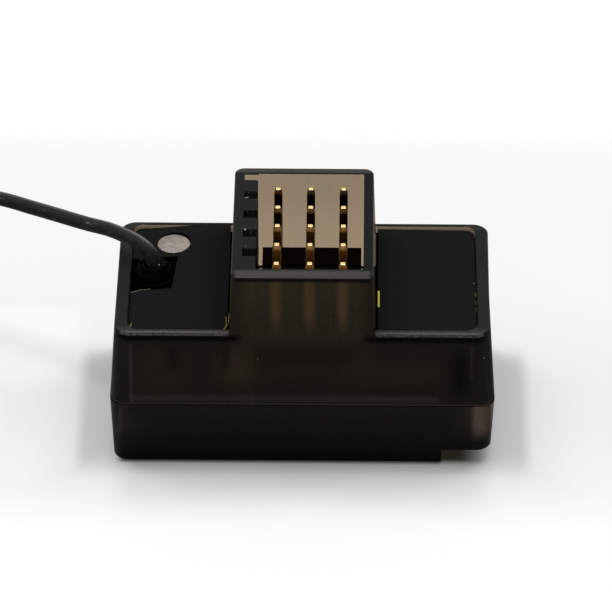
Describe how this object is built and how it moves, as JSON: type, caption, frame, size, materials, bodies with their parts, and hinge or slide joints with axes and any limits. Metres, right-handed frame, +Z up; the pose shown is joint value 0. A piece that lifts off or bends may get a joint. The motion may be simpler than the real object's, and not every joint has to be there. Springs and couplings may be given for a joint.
{
  "type": "rc receiver",
  "caption": "Small radio-control receiver: smoked translucent case with an open pin connector tower between two labelled shoulders and a thin whip antenna lead.",
  "frame": {"origin": "middle of the underside of the case, on the surface it stands on", "axes": "+X along the case towards the raised end of the underside, +Y away from the long front wall, +Z up through the connector tower"},
  "size_m": [0.0568, 0.0218, 0.0171],
  "materials": {
    "smoked_plastic": "smoked brown-black translucent moulded plastic, satin",
    "circuit_board": "green solder mask",
    "black_nylon": "moulded black nylon",
    "gold_plate": "gold plated square pins",
    "tinned_steel": "tinned sheet steel",
    "component_black": "moulded epoxy chip body",
    "tantalum": "yellow moulded epoxy",
    "can_aluminium": "drawn aluminium can",
    "led_body": "white chip body",
    "frosted_lens": "frosted grey light pipe",
    "black_rubber": "matt black rubber",
    "cable_jacket": "dark grey cable jacket with pale scuffs",
    "cable_core": "milky dielectric",
    "black_label": "bare black label film with a yellow edge"
  },
  "bodies": {
    "root": {"upper_case": "smoked_plastic", "lower_case": "smoked_plastic", "main_board": "circuit_board", "header_base": "black_nylon", "rf_shield": "tinned_steel", "rf_chip": "component_black", "microcontroller": "component_black", "crystal": "tinned_steel", "voltage_regulator": "component_black", "tantalum_capacitor": "tantalum", "electrolytic_capacitor": "can_aluminium", "resistor_array": "component_black", "status_led": "led_body", "light_pipe": "frosted_lens", "antenna_collar": "black_rubber", "antenna_tail": "cable_jacket", "antenna_lead": "cable_jacket", "antenna_coil": "cable_jacket", "antenna_whip": "cable_core", "left_label": "black_label", "right_label": "black_label", "signal_pin_1": "gold_plate", "signal_pin_2": "gold_plate", "signal_pin_3": "gold_plate", "signal_pin_4": "gold_plate", "signal_pin_5": "gold_plate", "supply_pin_1": "gold_plate", "supply_pin_2": "gold_plate", "supply_pin_3": "gold_plate", "supply_pin_4": "gold_plate", "supply_pin_5": "gold_plate", "ground_pin_1": "gold_plate", "ground_pin_2": "gold_plate", "ground_pin_3": "gold_plate", "ground_pin_4": "gold_plate", "ground_pin_5": "gold_plate"}
  },
  "joints": []
}
